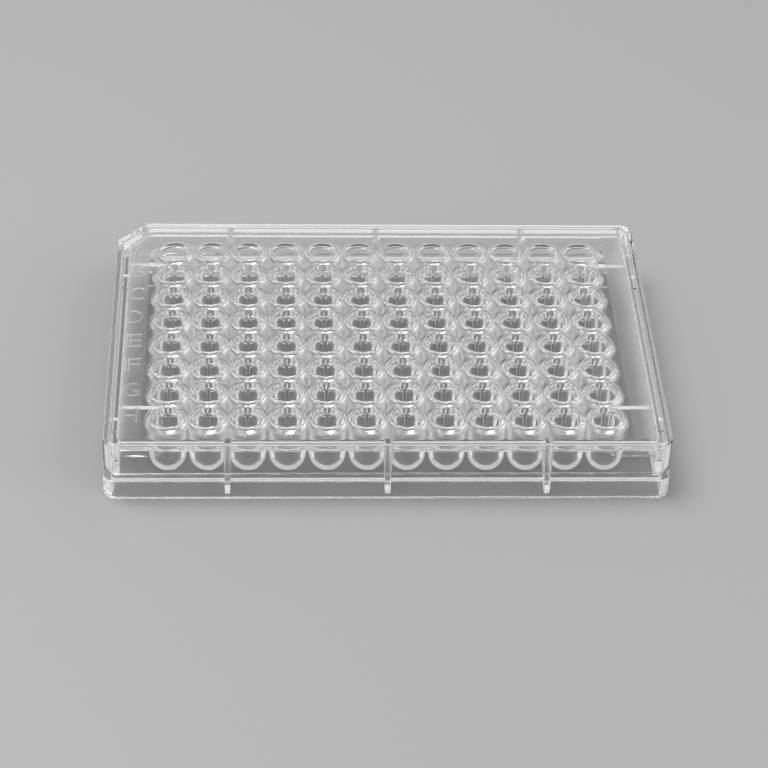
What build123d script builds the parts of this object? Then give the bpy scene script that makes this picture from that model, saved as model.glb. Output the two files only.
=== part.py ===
from build123d import *
import os
from math import sqrt

# A 96-well round-bottom plate with its lid on, in millimetres.
# Origin: centre of the footprint, on the surface that the plate stands on.
# +X runs along a row from column 1 to column 12, +Y from row H to row A, +Z up.

# ---- driving dimensions -------------------------------------------------

# flange: the foot that carriers and readers hold
foot_length = 127.76
foot_width = 85.48
foot_corner = 3.2
flange_height = 5.4
flange_wall = 1.8
ledge_thickness = 1.2
flange_edge_round = 0.3

# body: the upright wall above the flange, and the deck between the wells
plate_height = 14.35
end_ledge = 1.73  # how far the flange stands out past the body at the short ends
side_ledge = 1.84  # and along the long sides
body_corner = 1.8
notch_leg = 6.15  # of the notch beside well A1, along each side of the body
notch_corner = 0.8
body_wall = 1.9
rim_band = 1.9  # width of the raised rim that the lid rests on
rim_round = 0.3
deck_drop = 0.65  # from the top of the rim down to the deck
deck_thickness = 1.2

# wells
columns = 12
rows = 8
well_spacing = 9.0
mouth_diameter = 6.86
bottom_diameter = 6.4  # inside, where the round bottom begins
well_wall = 0.95
lip_width = 0.77
lip_drop = 0.1  # the lips stay this far below the rim that carries the lid
well_clearance = 1.6  # from the standing surface to the lowest point of a well

# webs between the wells of a column
web_thickness = 0.8
web_bottom = 4.2

# ribs between the walls and the block of wells
rib_top_width = 1.75
rib_foot_width = 1.2
rib_bottom = 0.9
rib_reach = 1.5  # how far short of the outer wells' centres a rib ends
rib_slope = 2.5  # bevel on the inner lower corner of a rib
rib_after_columns = (2, 6, 10)  # long sides: a rib between this column and the next
end_rib_width = 1.2
rib_after_rows = (1, 7)  # short ends: a rib between this row and the next

# marking panels on the deck at both short ends, each tied to the wells by a small bar
panel_rise = 0.15
panel_gap = 5.9  # from the centres of the end wells to the panel
tie_width = 0.5
tie_start = 2.5  # from the centres of the end wells
tie_after_row = 2

# lid
lid_clearance = 0.25
lid_wall = 1.2
lid_thickness = 1.0
skirt_gap = 1.5  # open height between the ledge and the lid's lower edge
lid_edge_round = 0.45
skirt_round = 0.25

# ---- derived sizes ------------------------------------------------------

body_length = foot_length - 2 * end_ledge
body_width = foot_width - 2 * side_ledge
deck_top = plate_height - deck_drop
deck_underside = deck_top - deck_thickness
mid_deck = deck_top - deck_thickness / 2
lip_top = plate_height - lip_drop
mouth_radius = mouth_diameter / 2
bottom_radius = bottom_diameter / 2
tube_radius = bottom_radius + well_wall
lip_radius = mouth_radius + lip_width
sphere_height = well_clearance + tube_radius
end_column_x = (columns - 1) * well_spacing / 2
end_row_y = (rows - 1) * well_spacing / 2
panel_top = deck_top + panel_rise
ledge_underside = flange_height - ledge_thickness
lid_bottom = flange_height + skirt_gap
lid_top = plate_height + lid_thickness


# ---- outlines and slabs -------------------------------------------------


def foot_outline(inset):
    """The flange's outline, moved in by inset."""
    with BuildSketch() as outline:
        RectangleRounded(foot_length - 2 * inset, foot_width - 2 * inset, foot_corner - inset)
    return outline.sketch


def body_outline(inset):
    """The body's outline with its notch beside well A1, moved in by inset, or out where it is negative."""
    with BuildSketch() as outline:
        Rectangle(body_length - 2 * inset, body_width - 2 * inset)
        a1_corner = outline.vertices().sort_by(lambda v: v.X - v.Y)[0]
        fillet(outline.vertices() - [a1_corner], max(body_corner - inset, notch_corner / 2))
        a1_corner = outline.vertices().sort_by(lambda v: v.X - v.Y)[0]
        chamfer(a1_corner, notch_leg - inset * (2 - sqrt(2)))
        fillet(outline.vertices().sort_by(lambda v: v.X - v.Y)[:2], notch_corner)
    return outline.sketch


def slab(outline, bottom, top):
    """A slab of the given outline between two heights."""
    with BuildPart() as block:
        with BuildSketch(Plane.XY.offset(bottom)):
            add(outline)
        extrude(amount=top - bottom)
    return block.part


# ---- one well -----------------------------------------------------------

with BuildPart() as well_body:
    with BuildSketch(Plane.XZ):
        with BuildLine():
            Polyline(
                (0, well_clearance),
                (0, lip_top),
                (lip_radius, lip_top),
                (lip_radius, deck_underside),
                (tube_radius, deck_underside),
                (tube_radius, sphere_height),
            )
            RadiusArc((tube_radius, sphere_height), (0, well_clearance), tube_radius)
        make_face()
    revolve(axis=Axis.Z)

with BuildPart() as well_cavity:
    with BuildSketch(Plane.XZ):
        with BuildLine():
            Polyline(
                (0, sphere_height - bottom_radius),
                (0, lip_top),
                (mouth_radius, lip_top),
                (bottom_radius, sphere_height),
            )
            RadiusArc((bottom_radius, sphere_height), (0, sphere_height - bottom_radius), bottom_radius)
        make_face()
    revolve(axis=Axis.Z)

# ---- ribs ---------------------------------------------------------------


def rib(wall_reach, foot_reach, top_width, foot_width):
    """A rib along +Y, from beside the outer wells' centres (y = 0) to the body and flange walls."""
    mid_ledge = flange_height - ledge_thickness / 2
    with BuildPart() as upright:
        with BuildSketch(Plane.YZ):
            Polygon(
                (rib_reach, mid_deck),
                (rib_reach, rib_bottom + rib_slope),
                (rib_reach + rib_slope, rib_bottom),
                (foot_reach, rib_bottom),
                (foot_reach, mid_ledge),
                (wall_reach, mid_ledge),
                (wall_reach, mid_deck),
                align=None,
            )
        extrude(amount=top_width / 2, both=True)
        with BuildSketch(Plane.XZ):
            Polygon(
                (-top_width / 2, deck_top),
                (-foot_width / 2, rib_bottom),
                (foot_width / 2, rib_bottom),
                (top_width / 2, deck_top),
                align=None,
            )
        extrude(amount=foot_reach + 1, both=True, mode=Mode.INTERSECT)
    return upright.part


side_rib = rib(
    (body_width - body_wall) / 2 - end_row_y,
    (foot_width - flange_wall) / 2 - end_row_y,
    rib_top_width,
    rib_foot_width,
)
end_rib = rib(
    (body_length - body_wall) / 2 - end_column_x,
    (foot_length - flange_wall) / 2 - end_column_x,
    end_rib_width,
    end_rib_width,
)

# ---- marking panels -----------------------------------------------------

with BuildPart() as panels:
    add(slab(body_outline(rim_band), mid_deck, panel_top))
    Box(2 * (end_column_x + panel_gap), body_width, 2 * plate_height, mode=Mode.SUBTRACT)
    tie_x = end_column_x + (tie_start + panel_gap) / 2
    tie_y = end_row_y - (tie_after_row - 0.5) * well_spacing
    with Locations((-tie_x, tie_y, mid_deck), (tie_x, tie_y, mid_deck)):
        Box(
            panel_gap - tie_start,
            tie_width,
            panel_top - mid_deck,
            align=(Align.CENTER, Align.CENTER, Align.MIN),
        )

# ---- the plate ----------------------------------------------------------

with BuildPart() as plate:
    add(slab(foot_outline(0), 0, flange_height))
    fillet(plate.faces().sort_by(Axis.Z)[-1].edges(), flange_edge_round)
    add(slab(body_outline(0), ledge_underside, plate_height))
    add(slab(body_outline(rim_band), deck_top, plate_height), mode=Mode.SUBTRACT)
    fillet(plate.faces().sort_by(Axis.Z)[-1].edges(), rim_round)
    add(slab(foot_outline(flange_wall), 0, ledge_underside), mode=Mode.SUBTRACT)
    add(slab(body_outline(body_wall), ledge_underside, deck_underside), mode=Mode.SUBTRACT)

    # ribs along both long sides and at both short ends
    for number in rib_after_columns:
        x = (number - 0.5) * well_spacing - end_column_x
        add(side_rib.moved(Location((x, end_row_y, 0))))
        add(side_rib.moved(Location((x, -end_row_y, 0), (0, 0, 180))))
    for number in rib_after_rows:
        y = end_row_y - (number - 0.5) * well_spacing
        add(end_rib.moved(Location((-end_column_x, y, 0), (0, 0, 90))))
        add(end_rib.moved(Location((end_column_x, y, 0), (0, 0, -90))))

    add(panels.part)

    # webs along each column, wells, then the hollows of the wells
    with Locations((0, 0, web_bottom)):
        with GridLocations(well_spacing, well_spacing, columns, 1):
            Box(
                web_thickness,
                2 * end_row_y,
                mid_deck - web_bottom,
                align=(Align.CENTER, Align.CENTER, Align.MIN),
            )
    with GridLocations(well_spacing, well_spacing, columns, rows):
        add(well_body.part)
    with GridLocations(well_spacing, well_spacing, columns, rows):
        add(well_cavity.part, mode=Mode.SUBTRACT)

plate.part.label = "plate"

# ---- the lid ------------------------------------------------------------

with BuildPart() as lid:
    add(slab(body_outline(-lid_clearance - lid_wall), lid_bottom, lid_top))
    fillet(lid.faces().sort_by(Axis.Z)[-1].edges(), lid_edge_round)
    fillet(lid.faces().sort_by(Axis.Z)[0].edges(), skirt_round)
    add(slab(body_outline(-lid_clearance), lid_bottom, plate_height), mode=Mode.SUBTRACT)

lid.part.label = "lid"

os.makedirs("parts", exist_ok=True)
export_step(plate.part, "parts/plate.step")
export_step(lid.part, "parts/lid.step")
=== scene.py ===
"""Looks for the 96-well plate and its lid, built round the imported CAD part.

The plate and the lid are each one clear moulding, so each is one closed mesh here, with the small
rounds, fillets and raised letters that clear plastic shows. Shapes are worked out in millimetres in
the row frame, from the CAD boxes and the driving dimensions below, and stored in metres.
"""

import math

import bmesh
import bpy
import numpy as np
from mathutils import Matrix, Vector


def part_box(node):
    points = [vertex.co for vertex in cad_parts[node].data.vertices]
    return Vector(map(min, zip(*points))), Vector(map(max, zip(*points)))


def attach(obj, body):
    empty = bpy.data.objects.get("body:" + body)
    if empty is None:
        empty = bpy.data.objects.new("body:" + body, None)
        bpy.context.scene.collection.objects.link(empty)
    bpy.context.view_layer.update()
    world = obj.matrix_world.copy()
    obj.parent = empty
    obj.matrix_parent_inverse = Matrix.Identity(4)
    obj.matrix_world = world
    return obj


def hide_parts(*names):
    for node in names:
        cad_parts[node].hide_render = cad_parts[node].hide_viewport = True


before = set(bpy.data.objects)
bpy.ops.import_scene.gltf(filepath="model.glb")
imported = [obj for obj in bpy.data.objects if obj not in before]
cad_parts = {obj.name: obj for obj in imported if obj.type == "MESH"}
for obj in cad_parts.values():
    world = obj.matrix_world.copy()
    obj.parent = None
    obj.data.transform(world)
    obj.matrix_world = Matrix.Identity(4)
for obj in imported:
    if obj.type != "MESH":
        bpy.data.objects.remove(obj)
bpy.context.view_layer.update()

MM = 0.001

# ---- sizes from the frame, in millimetres ----

plate_low, plate_high = (Vector(corner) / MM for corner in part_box("plate"))
lid_low, lid_high = (Vector(corner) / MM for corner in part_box("lid"))
foot_length, foot_width, plate_height = plate_high - plate_low
lid_length, lid_width = (lid_high - lid_low).xy
lid_bottom, lid_top = lid_low.z, lid_high.z

# ---- driving dimensions, in millimetres ----

foot_corner = 3.2
smallest_corner = 0.3  # of the foot's outline, however far it is moved in
flange_height = 5.4
flange_wall = 1.8
ledge_thickness = 1.2
flange_round = 0.3
foot_round = 0.2

lid_clearance = 0.25
lid_wall = 1.2
lid_gap = 0.03  # between the lid and the rim that it rests on
lid_edge_round = 0.45
skirt_round = 0.25
lid_inner_round = 0.35

body_length = lid_length - 2 * (lid_clearance + lid_wall)
body_width = lid_width - 2 * (lid_clearance + lid_wall)
body_corner = 1.8
notch_leg = 6.15
notch_corner = 0.8
body_wall = 1.9
rim_band = 1.9
rim_round = 0.3
deck_drop = 0.65
deck_thickness = 1.2
deck_top = plate_height - deck_drop
deck_underside = deck_top - deck_thickness
mid_deck = deck_top - deck_thickness / 2
wall_fillet = 0.6

columns, rows, spacing = 12, 8, 9.0
end_column_x = (columns - 1) * spacing / 2
end_row_y = (rows - 1) * spacing / 2
mouth_radius = 3.43
bottom_radius = 3.2
tube_radius = 4.15
lip_radius = 4.2
lip_drop = 0.1
lip_top = plate_height - lip_drop
lip_round = 0.3
lip_fillet = 0.2
well_bottom = 1.6
sphere_height = well_bottom + tube_radius
root_fillet = 1.4

web_thickness = 0.8
web_bottom = 4.2
rib_top_width = 1.75
rib_foot_width = 1.2
rib_bottom = 0.9
rib_reach = 1.5
rib_slope = 2.5
rib_after_columns = (2, 6, 10)
end_rib_width = 1.2
rib_after_rows = (1, 7)

field_rise = 0.02  # of the satin ground round the wells over the clear deck
field_reach = 4.4  # from the centres of the outer wells, but at row H it goes on to the rim
panel_rise = 0.15
panel_top = deck_top + panel_rise
panel_gap = 5.9
tie_width = 0.5
tie_start = 2.5
tie_overlap = 0.5  # how far a tie runs into its panel
tie_after_row = 2

letter_width = 3.6
letter_height = 4.95
letter_stand = 0.3
letter_swell = 0.03  # by which each stroke is widened on both sides
letter_extrusion = 0.075  # half the straight part of a letter, which is sunk in the lid
letter_slope = 0.2  # how far in the sides lean from the foot to the top
letter_x = -57.9

overshoot = 1  # how far a shape that cuts runs past what it cuts

# ---- how finely curves are divided ----

WELL_STEPS = 30
SPHERE_STEPS = 8
ROUND_STEPS = 3
CORNER_STEPS = 8
LIP_FILLET_STEPS = 2
LETTER_STEPS = 4
SHARP_ANGLE = math.radians(38)
CAPITAL_SHARE = 0.7  # height of a capital in a line of text of size 1
WELD = 0.001  # mm within which points of a letter are one

# ---- which faces get a finish, in millimetres and as the upward part of the normal ----

RIB_SIDE_MARGIN = 0.05
RIB_END_MARGIN = 0.1
WALL_MARGIN = 0.05
LEVEL_MARGIN = 0.005
LETTER_MARGIN = 0.01
LEVEL = 0.99
LETTER_LEVEL = 0.9

# ---- plastic ----

CLEAR, FROSTED, SATIN, MATT = range(4)
LETTER_SIDES = 1  # after the clear finish, among the lid's materials
TINT = {CLEAR: 0.995, FROSTED: 0.98, SATIN: 0.99, MATT: 0.98}
ROUGHNESS = {CLEAR: 0.02, FROSTED: 0.4, SATIN: 0.28, MATT: 0.5}
LETTER_CLEARNESS = 0.5
POLYSTYRENE_IOR = 1.59
MIRROR_TINT = 0.05  # dims what the surface mirrors head-on
RIPPLE_SCALE = 90
RIPPLE_DETAIL = 2
RIPPLE_STRENGTH = 0.008
RIPPLE_DEPTH = 0.0005
LAMP_SHARE = 0.8  # of a lamp's light that passes each surface

# ---- light ----

FLOOR_GREY = 0.45
FLOOR_ROUGHNESS = 0.35
FLOOR_HALF = 4.0  # metres
FLOOR_GAP = 0.05  # mm of air under the flange, without which it would merge with the floor
# painted glow: strength of the white that the floor shows only to light reflected inside the
# plastic
PAINTED_GLOW = 0.85
PAINTED_GLOW_SHARE = 0.5  # how much of the painted glow each reflection inside the plastic adds to the floor
SOME = 0.5  # tells a count of one or more from none
ROOM_GREY = 0.4
FADE_START = 0.05  # height on the unit sphere at which the backdrop begins to fade
FADE_END = 0.3
CEILING = 0.15

# ---- camera ----

CAMERA_EYE = (-0.0286, -0.4582, 0.3720)
CAMERA_TURN = (39.118, 3.678, 2.359)  # pitch down, yaw to the right and roll, in degrees
CAMERA_LENS = 116.1
CAMERA_SENSOR = 36
CAMERA_CLIP = (0.05, 20)
BOUNCES = 40  # light crosses many walls of clear plastic
TRANSPARENT_BOUNCES = 48


# ---- meshes from outlines and profiles ----


def arc(centre, radius, start, end, steps=ROUND_STEPS):
    """Points of an arc between two angles in degrees, both ends included."""
    angles = np.radians(np.linspace(start, end, steps + 1))
    return [(centre[0] + radius * math.cos(a), centre[1] + radius * math.sin(a)) for a in angles]


def rounded(corners, radii):
    """A convex outline, counter-clockwise, with each corner turned into an arc."""
    corners = [Vector(c) for c in corners]
    outline = []
    for number, (corner, radius) in enumerate(zip(corners, radii)):
        back = (corners[number - 1] - corner).normalized()
        ahead = (corners[(number + 1) % len(corners)] - corner).normalized()
        half = back.angle(ahead) / 2
        centre = corner + (back + ahead).normalized() * radius / math.sin(half)
        start = math.degrees(math.atan2(-back.x, back.y))
        turn = 180 - math.degrees(2 * half)
        outline += arc(centre, radius, start - 180, start - 180 + turn, CORNER_STEPS)
    return outline


def foot_outline(inset):
    """The flange's outline, moved in by inset."""
    x, y = foot_length / 2 - inset, foot_width / 2 - inset
    corner = max(foot_corner - inset, smallest_corner)
    return rounded([(x, -y), (x, y), (-x, y), (-x, -y)], [corner] * 4)


def body_outline(inset):
    """The body's outline with its notch beside well A1, moved in by inset."""
    x, y = body_length / 2 - inset, body_width / 2 - inset
    leg = notch_leg - inset * (2 - math.sqrt(2))
    corner = max(body_corner - inset, notch_corner / 2)
    corners = [(x, -y), (x, y), (-x + leg, y), (-x, y - leg), (-x, -y)]
    return rounded(corners, [corner, corner, notch_corner, notch_corner, corner])


def loft(outline, profile):
    """Vertices and faces of a closed block whose outline follows (inset, height) pairs upwards."""
    rings = [[(x, y, height) for x, y in outline(inset)] for inset, height in profile]
    count = len(rings[0])
    faces = [list(range(count))[::-1]]
    for ring in range(len(rings) - 1):
        low, high = ring * count, (ring + 1) * count
        faces += [
            [low + n, low + (n + 1) % count, high + (n + 1) % count, high + n]
            for n in range(count)
        ]
    faces.append(list(range((len(rings) - 1) * count, len(rings) * count)))
    return [point for ring in rings for point in ring], faces


def revolved(profile):
    """Vertices and faces of a closed shape of revolution. The profile runs from the axis at the
    bottom to the axis at the top.
    """
    (_, bottom), *sides, (_, top) = profile
    turns = [2 * math.pi * n / WELL_STEPS for n in range(WELL_STEPS)]
    points = [(0, 0, bottom)]
    points += [(r * math.cos(a), r * math.sin(a), z) for r, z in sides for a in turns]
    points.append((0, 0, top))
    faces = [[0, 1 + (n + 1) % WELL_STEPS, 1 + n] for n in range(WELL_STEPS)]
    for ring in range(len(sides) - 1):
        low, high = 1 + ring * WELL_STEPS, 1 + (ring + 1) * WELL_STEPS
        faces += [
            [low + n, low + (n + 1) % WELL_STEPS, high + (n + 1) % WELL_STEPS, high + n]
            for n in range(WELL_STEPS)
        ]
    last, high = len(points) - 1, 1 + (len(sides) - 1) * WELL_STEPS
    faces += [[high + n, high + (n + 1) % WELL_STEPS, last] for n in range(WELL_STEPS)]
    return points, faces


def prism(polygon, thickness):
    """Vertices and faces of a counter-clockwise polygon in the XZ plane, thickened along Y."""
    count = len(polygon)
    points = [(x, -thickness / 2, z) for x, z in polygon]
    points += [(x, thickness / 2, z) for x, z in polygon]
    faces = [list(range(count)), list(range(count, 2 * count))[::-1]]
    faces += [[n, n + count, (n + 1) % count + count, (n + 1) % count] for n in range(count)]
    return points, faces


def box(low, high):
    """Vertices and faces of a box between two corners."""
    (x0, y0, z0), (x1, y1, z1) = low, high
    points, faces = prism([(x0, z0), (x1, z0), (x1, z1), (x0, z1)], y1 - y0)
    return [(x, y + (y0 + y1) / 2, z) for x, y, z in points], faces


def moved(shape, x, y, turn=0):
    """A shape turned about the vertical axis by some degrees and then moved."""
    c, s = math.cos(math.radians(turn)), math.sin(math.radians(turn))
    points, faces = shape
    return [(c * px - s * py + x, s * px + c * py + y, pz) for px, py, pz in points], faces


def solid(name, shapes):
    """One object from shapes that don't touch each other."""
    points, faces = [], []
    for shape_points, shape_faces in shapes:
        faces += [[n + len(points) for n in face] for face in shape_faces]
        points += shape_points
    mesh = bpy.data.meshes.new(name)
    mesh.from_pydata(points, [], faces)
    mesh.validate()
    made = bpy.data.objects.new(name, mesh)
    bpy.context.scene.collection.objects.link(made)
    return made


def combine(target, operation, tool):
    """Joins the tool to the target or cuts it away, as closed solids."""
    modifier = target.modifiers.new(operation, "BOOLEAN")
    modifier.operation = operation
    modifier.solver = "MANIFOLD"
    modifier.object = tool
    bpy.context.view_layer.objects.active = target
    bpy.ops.object.modifier_apply(modifier=modifier.name)
    bpy.data.objects.remove(tool)


# ---- the plate ----


def foot_block():
    """The flange with its ledge, before it is hollowed."""
    profile = arc((foot_round, foot_round), foot_round, 270, 180)
    profile += arc((flange_round, flange_height - flange_round), flange_round, 180, 90)
    return loft(foot_outline, profile)


def body_block():
    """The upright body, before it is hollowed."""
    profile = [(0, flange_height - ledge_thickness)]
    profile += arc((rim_round, plate_height - rim_round), rim_round, 180, 90)
    return loft(body_outline, profile)


def deck_recess():
    """What is cut away above the deck, inside the rim."""
    inside = rim_band
    profile = arc((inside + rim_round, deck_top + rim_round), rim_round, 270, 180)
    profile += arc((inside - rim_round, plate_height - rim_round), rim_round, 0, 90)
    profile.append((inside - rim_round, plate_height + overshoot))
    return loft(body_outline, profile)


def foot_hollow():
    """The space inside the flange, open below."""
    edge = flange_wall - foot_round
    profile = [(edge, -overshoot)]
    profile += arc((edge, foot_round), foot_round, 270, 360)
    profile.append((flange_wall, flange_height - ledge_thickness))
    return loft(foot_outline, profile)


def body_hollow():
    """The space under the deck, inside the body's walls."""
    profile = [(body_wall, flange_height - ledge_thickness - overshoot)]
    profile += arc((body_wall + wall_fillet, deck_underside - wall_fillet), wall_fillet, 180, 90)
    return loft(body_outline, profile)


def well_body():
    """The outside of a well: round bottom, tube, fillet under the deck and lip."""
    under = deck_underside - root_fillet
    profile = arc((0, sphere_height), tube_radius, -90, 0, SPHERE_STEPS)
    profile += arc((tube_radius + root_fillet, under), root_fillet, 180, 90)
    profile += [(tube_radius + root_fillet, mid_deck), (lip_radius + lip_fillet, mid_deck)]
    foot_of_lip = (lip_radius + lip_fillet, deck_top + lip_fillet)
    profile += arc(foot_of_lip, lip_fillet, 270, 180, LIP_FILLET_STEPS)
    profile += arc((lip_radius - lip_round, lip_top - lip_round), lip_round, 0, 90)
    profile.append((0, lip_top))
    return revolved(profile)


def well_cavity():
    """The inside of a well, open above."""
    profile = arc((0, sphere_height), bottom_radius, -90, 0, SPHERE_STEPS)
    profile += arc((mouth_radius + lip_round, lip_top - lip_round), lip_round, 180, 90)
    profile += [(mouth_radius + lip_round, lip_top + overshoot), (0, lip_top + overshoot)]
    return revolved(profile)


def rib(wall_reach, foot_reach, top_width, foot_width):
    """A rib along +X, from beside the outer wells' centres (x = 0) to the walls. Its foot may be
    narrower than its top.
    """
    mid_ledge = flange_height - ledge_thickness / 2
    outline = [
        (rib_reach, rib_bottom + rib_slope),
        (rib_reach + rib_slope, rib_bottom),
        (foot_reach, rib_bottom),
        (foot_reach, mid_ledge),
        (wall_reach, mid_ledge),
        (wall_reach, mid_deck),
        (rib_reach, mid_deck),
    ]
    points, faces = prism(outline, 1)
    slope = (top_width - foot_width) / (mid_deck - rib_bottom)
    return [(x, y * (foot_width + slope * (z - rib_bottom)), z) for x, y, z in points], faces


def stiffeners():
    """All ribs and webs. None of them touches another."""
    side = rib(
        (body_width - body_wall) / 2 - end_row_y,
        (foot_width - flange_wall) / 2 - end_row_y,
        rib_top_width,
        rib_foot_width,
    )
    end = rib(
        (body_length - body_wall) / 2 - end_column_x,
        (foot_length - flange_wall) / 2 - end_column_x,
        end_rib_width,
        end_rib_width,
    )
    shapes = []
    for number in rib_after_columns:
        x = (number - 0.5) * spacing - end_column_x
        shapes += [moved(side, x, end_row_y, 90), moved(side, x, -end_row_y, -90)]
    for number in rib_after_rows:
        y = end_row_y - (number - 0.5) * spacing
        shapes += [moved(end, end_column_x, y), moved(end, -end_column_x, y, 180)]
    for column in range(columns):
        x = column * spacing - end_column_x
        half = web_thickness / 2
        shapes.append(box((x - half, -end_row_y, web_bottom), (x + half, end_row_y, mid_deck)))
    return shapes


def panels():
    """The raised marking panels at both short ends."""
    block = solid("panels", [loft(body_outline, [(rim_band, mid_deck), (rim_band, panel_top)])])
    reach = end_column_x + panel_gap
    middle = solid("middle", [box((-reach, -body_width, 0), (reach, body_width, 2 * plate_height))])
    combine(block, "DIFFERENCE", middle)
    return block


def field():
    """The satin ground round the wells, which goes on to the rim in front of row H."""
    side, rear = end_column_x + field_reach, end_row_y + field_reach
    front = body_width / 2 - rim_band - rim_round
    return box((-side, -front, mid_deck), (side, rear, deck_top + field_rise))


def ties():
    """The small bar from each panel to the wells."""
    y = end_row_y - (tie_after_row - 0.5) * spacing
    start, end = end_column_x + tie_start, end_column_x + panel_gap + tie_overlap
    half = tie_width / 2
    return [
        box((start, y - half, mid_deck), (end, y + half, panel_top)),
        box((-end, y - half, mid_deck), (-start, y + half, panel_top)),
    ]


def lattice(shape, parity=None):
    """A copy of the shape at every well, or with a parity at every second one, as on a chessboard's
    squares of one colour.
    """
    return [
        moved(shape, column * spacing - end_column_x, end_row_y - row * spacing)
        for row in range(rows)
        for column in range(columns)
        if parity is None or (row + column) % 2 == parity
    ]


def plate_mesh():
    """The whole plate as one closed mesh, in millimetres."""
    plate = solid("plate_clear", [foot_block()])
    combine(plate, "UNION", solid("body", [body_block()]))
    combine(plate, "DIFFERENCE", solid("recess", [deck_recess()]))
    combine(plate, "DIFFERENCE", solid("foot_hollow", [foot_hollow()]))
    combine(plate, "DIFFERENCE", solid("body_hollow", [body_hollow()]))
    combine(plate, "UNION", solid("stiffeners", stiffeners()))
    combine(plate, "UNION", panels())
    combine(plate, "UNION", solid("field", [field()]))
    combine(plate, "UNION", solid("ties", ties()))
    for parity in (0, 1):
        combine(plate, "UNION", solid("wells", lattice(well_body(), parity)))
    combine(plate, "DIFFERENCE", solid("cavities", lattice(well_cavity())))
    return plate


# ---- the lid ----


def letter(text):
    """A capital as a closed raised form with softened edges, standing on z = 0 round the origin."""
    curve = bpy.data.curves.new("letter", "FONT")
    curve.body = text
    curve.size = letter_height / CAPITAL_SHARE
    curve.resolution_u = LETTER_STEPS
    curve.offset = letter_swell - letter_slope
    curve.bevel_depth = letter_slope
    curve.bevel_resolution = 0
    curve.extrude = letter_extrusion
    written = bpy.data.objects.new("letter", curve)
    bpy.context.scene.collection.objects.link(written)
    bpy.context.view_layer.update()
    evaluated = written.evaluated_get(bpy.context.evaluated_depsgraph_get())
    mesh = bpy.data.meshes.new_from_object(evaluated)
    bpy.data.objects.remove(written)
    form = bmesh.new()
    form.from_mesh(mesh)
    bmesh.ops.remove_doubles(form, verts=form.verts, dist=WELD)
    low = [min(v.co[axis] for v in form.verts) for axis in range(3)]
    high = [max(v.co[axis] for v in form.verts) for axis in range(3)]
    wide, tall = letter_width / (high[0] - low[0]), letter_height / (high[1] - low[1])
    shoulder = high[2] - letter_slope
    steep = letter_stand / letter_slope
    points = [
        (
            (v.co.x - (low[0] + high[0]) / 2) * wide,
            (v.co.y - (low[1] + high[1]) / 2) * tall,
            (v.co.z - shoulder) * steep,
        )
        for v in form.verts
    ]
    form.verts.index_update()
    faces = [[v.index for v in face.verts] for face in form.faces]
    form.free()
    bpy.data.meshes.remove(mesh)
    return points, faces


def row_letters():
    """A to H beside their rows, on the lid's top."""
    shapes = []
    for row in range(rows):
        points, faces = moved(letter("ABCDEFGH"[row]), letter_x, end_row_y - row * spacing)
        shapes.append(([(x, y, z + lid_top) for x, y, z in points], faces))
    return shapes


def lid_mesh():
    """The lid as one closed mesh, in millimetres."""
    inset = -(lid_clearance + lid_wall)
    profile = arc((inset + skirt_round, lid_bottom + skirt_round), skirt_round, 270, 180)
    profile += arc((inset + lid_edge_round, lid_top - lid_edge_round), lid_edge_round, 180, 90)
    lid = solid("lid_clear", [loft(body_outline, profile)])
    inset = -lid_clearance
    ceiling = plate_height + lid_gap
    profile = [(inset - skirt_round, lid_bottom - overshoot)]
    profile += arc((inset - skirt_round, lid_bottom + skirt_round), skirt_round, -90, 0)
    profile += arc((inset + lid_inner_round, ceiling - lid_inner_round), lid_inner_round, 180, 90)
    combine(lid, "DIFFERENCE", solid("lid_hollow", [loft(body_outline, profile)]))
    combine(lid, "UNION", solid("letters", row_letters()))
    return lid


# ---- finishes ----


def grey(level):
    return (level, level, level, 1)


def node_tree(name):
    material = bpy.data.materials.new(name)
    material.use_nodes = True
    tree = material.node_tree
    tree.nodes.clear()
    return material, tree


def clear_plastic(name, finish, clearness=1.0):
    """Clear moulded polystyrene in one of the finishes. Lamps shine through it, and less clearness
    whitens it.
    """
    material, tree = node_tree(name)
    new, link = tree.nodes.new, tree.links.new
    output = new("ShaderNodeOutputMaterial")
    surface = new("ShaderNodeBsdfPrincipled")
    surface.inputs["Base Color"].default_value = grey(TINT[finish])
    surface.inputs["IOR"].default_value = POLYSTYRENE_IOR
    surface.inputs["Specular Tint"].default_value = grey(MIRROR_TINT)
    surface.inputs["Transmission Weight"].default_value = clearness
    surface.inputs["Roughness"].default_value = ROUGHNESS[finish]
    coordinates = new("ShaderNodeTexCoord")
    flow = new("ShaderNodeTexNoise")
    flow.inputs["Scale"].default_value = RIPPLE_SCALE
    flow.inputs["Detail"].default_value = RIPPLE_DETAIL
    bump = new("ShaderNodeBump")
    bump.inputs["Strength"].default_value = RIPPLE_STRENGTH
    bump.inputs["Distance"].default_value = RIPPLE_DEPTH
    link(coordinates.outputs["Object"], flow.inputs["Vector"])
    link(flow.outputs["Fac"], bump.inputs["Height"])
    link(bump.outputs["Normal"], surface.inputs["Normal"])
    passing = new("ShaderNodeBsdfTransparent")
    passing.inputs["Color"].default_value = grey(LAMP_SHARE)
    path = new("ShaderNodeLightPath")
    either = new("ShaderNodeMath")
    either.operation = "MAXIMUM"
    link(path.outputs["Is Shadow Ray"], either.inputs[0])
    link(path.outputs["Is Diffuse Ray"], either.inputs[1])
    mix = new("ShaderNodeMixShader")
    link(either.outputs[0], mix.inputs["Fac"])
    link(surface.outputs[0], mix.inputs[1])
    link(passing.outputs[0], mix.inputs[2])
    link(mix.outputs[0], output.inputs["Surface"])
    return material


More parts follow.
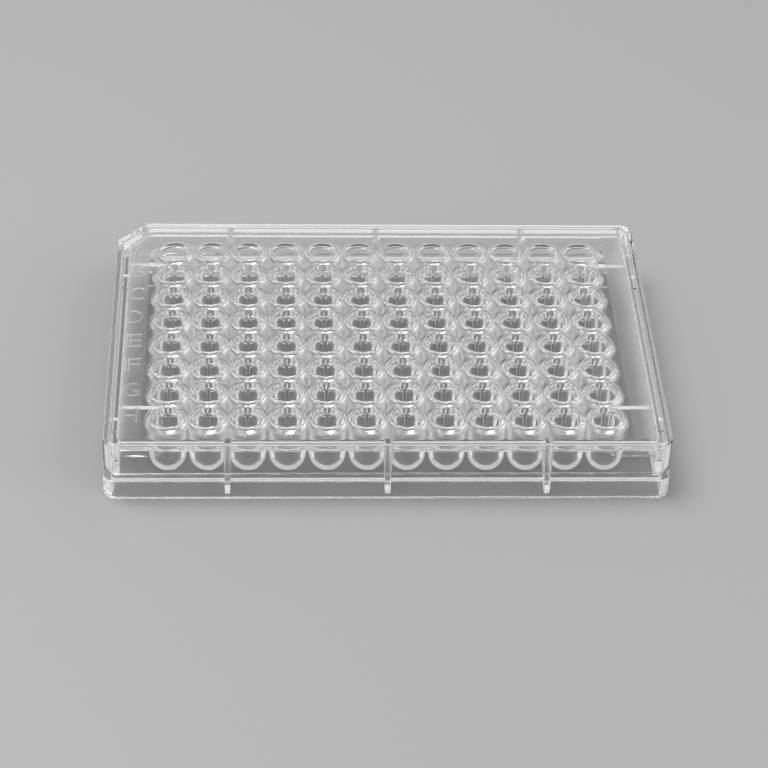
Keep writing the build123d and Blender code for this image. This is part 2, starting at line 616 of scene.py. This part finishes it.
def floor_material():
    """A plain pale surface with a soft sheen. To light that was reflected inside the plastic it
    shows a painted glow, half white after one reflection and white after two, which paints
    highlights on the plastic.
    """
    material, tree = node_tree("floor")
    new, link = tree.nodes.new, tree.links.new
    output = new("ShaderNodeOutputMaterial")
    surface = new("ShaderNodeBsdfPrincipled")
    surface.inputs["Base Color"].default_value = grey(FLOOR_GREY)
    surface.inputs["Roughness"].default_value = FLOOR_ROUGHNESS
    # painted glow: this white emission is seen only by light reflected inside the plastic and
    # paints highlights on it
    backdrop_and_painted_glow = new("ShaderNodeEmission")
    backdrop_and_painted_glow.inputs["Strength"].default_value = PAINTED_GLOW
    path = new("ShaderNodeLightPath")
    turned, inside, both = (new("ShaderNodeMath") for _ in range(3))
    turned.operation = both.operation = "MULTIPLY"
    turned.inputs[1].default_value = PAINTED_GLOW_SHARE
    turned.use_clamp = True
    inside.operation = "GREATER_THAN"
    inside.inputs[1].default_value = SOME
    link(path.outputs["Glossy Depth"], turned.inputs[0])
    link(path.outputs["Transmission Depth"], inside.inputs[0])
    link(turned.outputs[0], both.inputs[0])
    link(inside.outputs[0], both.inputs[1])
    mix = new("ShaderNodeMixShader")
    link(both.outputs[0], mix.inputs["Fac"])
    link(surface.outputs[0], mix.inputs[1])
    link(backdrop_and_painted_glow.outputs[0], mix.inputs[2])
    link(mix.outputs[0], output.inputs["Surface"])
    return material


# ---- pieces ----


def finish_piece(piece, node, slot_name, *materials):
    """Shades a piece, puts it into metres and lets it stand for its CAD node."""
    piece.data.transform(Matrix.Scale(MM, 4))
    piece.data.materials.clear()
    for material in materials:
        piece.data.materials.append(material)
    piece.data.shade_smooth()
    piece.data.set_sharp_from_angle(angle=SHARP_ANGLE)
    weighted = piece.modifiers.new("flat faces stay flat", "WEIGHTED_NORMAL")
    weighted.keep_sharp = True
    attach(piece, "root")
    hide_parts(node)


def on_side_rib(point):
    """Whether a point in millimetres lies on a rib of the long sides, below the deck's fillet."""
    x, y, z = point
    places = [(number - 0.5) * spacing - end_column_x for number in rib_after_columns]
    beside = [abs(x - place) for place in places]
    return (
        z < deck_underside - wall_fillet
        and min(beside) < rib_top_width / 2 + RIB_SIDE_MARGIN
        and end_row_y + rib_reach - RIB_END_MARGIN < abs(y)
        and abs(y) < body_width / 2 - body_wall - WALL_MARGIN
    )


def make_plate():
    plate = plate_mesh()
    finish_piece(
        plate,
        "plate",
        "plate_plastic",
        clear_plastic("clear_plate", CLEAR),
        clear_plastic("frosted_panel", FROSTED),
        clear_plastic("satin_field", SATIN),
        clear_plastic("matt_ribs", MATT),
    )
    finishes = {panel_top: FROSTED, deck_top + field_rise: SATIN}
    for face in plate.data.polygons:
        face.material_index = CLEAR
        for height, finish in finishes.items():
            level = abs(face.center.z - height * MM) < LEVEL_MARGIN * MM
            if level and face.normal.z > LEVEL:
                face.material_index = finish
        if on_side_rib(face.center / MM) or face.center.z < foot_round * MM:
            face.material_index = MATT


def make_lid():
    lid = lid_mesh()
    finish_piece(
        lid,
        "lid",
        "lid_plastic",
        clear_plastic("clear_lid", CLEAR),
        clear_plastic("letter_sides", FROSTED, LETTER_CLEARNESS),
    )
    for face in lid.data.polygons:
        raised = face.center.z > (lid_top + LETTER_MARGIN) * MM
        side = raised and face.normal.z < LETTER_LEVEL
        face.material_index = LETTER_SIDES if side else CLEAR


# ---- stage ----


def make_floor():
    half, z = FLOOR_HALF, -FLOOR_GAP * MM
    corners = [(-half, -half, z), (half, -half, z), (half, half, z), (-half, half, z)]
    mesh = bpy.data.meshes.new("floor")
    mesh.from_pydata(corners, [], [(0, 1, 2, 3)])
    floor = bpy.data.objects.new("floor", mesh)
    bpy.context.scene.collection.objects.link(floor)
    mesh.materials.append(floor_material())


def aim(thing, place, target):
    thing.location = place
    thing.rotation_mode = "QUATERNION"
    thing.rotation_quaternion = (Vector(target) - Vector(place)).to_track_quat("-Z", "Y")


def soft_lamp(name, place, size, power):
    lamp = bpy.data.lights.new(name, "AREA")
    lamp.size = size
    lamp.energy = power
    holder = bpy.data.objects.new(name, lamp)
    bpy.context.scene.collection.objects.link(holder)
    aim(holder, place, (0, 0, 0))


def light_the_stage():
    """A dim even room and two lamps. In place of the room, the camera and light that meets plastic
    see a white horizon that fades overhead.
    """
    world = bpy.data.worlds.new("studio")
    bpy.context.scene.world = world
    world.use_nodes = True
    tree = world.node_tree
    tree.nodes.clear()
    new, link = tree.nodes.new, tree.links.new
    room, backdrop_and_painted_glow = new("ShaderNodeBackground"), new("ShaderNodeBackground")
    room.inputs["Color"].default_value = grey(ROOM_GREY)
    backdrop_and_painted_glow.inputs["Color"].default_value = grey(1)
    coordinates, parts = new("ShaderNodeTexCoord"), new("ShaderNodeSeparateXYZ")
    fade = new("ShaderNodeMapRange")
    fade.inputs["From Min"].default_value = FADE_START
    fade.inputs["From Max"].default_value = FADE_END
    fade.inputs["To Min"].default_value = 1.0
    fade.inputs["To Max"].default_value = CEILING
    link(coordinates.outputs["Generated"], parts.inputs[0])
    link(parts.outputs["Z"], fade.inputs["Value"])
    link(fade.outputs["Result"], backdrop_and_painted_glow.inputs["Strength"])
    path = new("ShaderNodeLightPath")
    seen = path.outputs["Is Camera Ray"]
    for kind in ("Is Glossy Ray", "Is Transmission Ray"):
        either = new("ShaderNodeMath")
        either.operation = "MAXIMUM"
        link(seen, either.inputs[0])
        link(path.outputs[kind], either.inputs[1])
        seen = either.outputs[0]
    mix, output = new("ShaderNodeMixShader"), new("ShaderNodeOutputWorld")
    link(seen, mix.inputs["Fac"])
    link(room.outputs[0], mix.inputs[1])
    link(backdrop_and_painted_glow.outputs[0], mix.inputs[2])
    link(mix.outputs[0], output.inputs["Surface"])
    soft_lamp("key", place=(-0.3, 0.1, 0.9), size=0.5, power=6)
    soft_lamp("fill", place=(0.7, -0.3, 0.6), size=0.6, power=2.0)


def make_camera():
    """The photograph's view: a long lens, well above the front and slightly left of its middle."""
    data = bpy.data.cameras.new("camera")
    data.lens = CAMERA_LENS
    data.sensor_width = CAMERA_SENSOR
    data.clip_start, data.clip_end = CAMERA_CLIP
    camera = bpy.data.objects.new("camera", data)
    bpy.context.scene.collection.objects.link(camera)
    eye = Vector(CAMERA_EYE)
    pitch, yaw, roll = (math.radians(angle) for angle in CAMERA_TURN)
    level = math.cos(pitch)
    ahead = Vector((math.sin(yaw) * level, math.cos(yaw) * level, -math.sin(pitch)))
    across = Vector((math.cos(yaw), -math.sin(yaw), 0))
    upright = across.cross(ahead)
    right = math.cos(roll) * across + math.sin(roll) * upright
    up = -math.sin(roll) * across + math.cos(roll) * upright
    turn = Matrix((right, up, -ahead)).transposed().to_4x4()
    camera.matrix_world = Matrix.Translation(eye) @ turn
    bpy.context.scene.camera = camera


def set_view():
    scene = bpy.context.scene
    scene.view_settings.view_transform = "Standard"
    scene.cycles.max_bounces = BOUNCES
    scene.cycles.glossy_bounces = BOUNCES
    scene.cycles.transmission_bounces = BOUNCES
    scene.cycles.transparent_max_bounces = TRANSPARENT_BOUNCES


make_plate()
make_lid()
make_floor()
light_the_stage()
make_camera()
set_view()
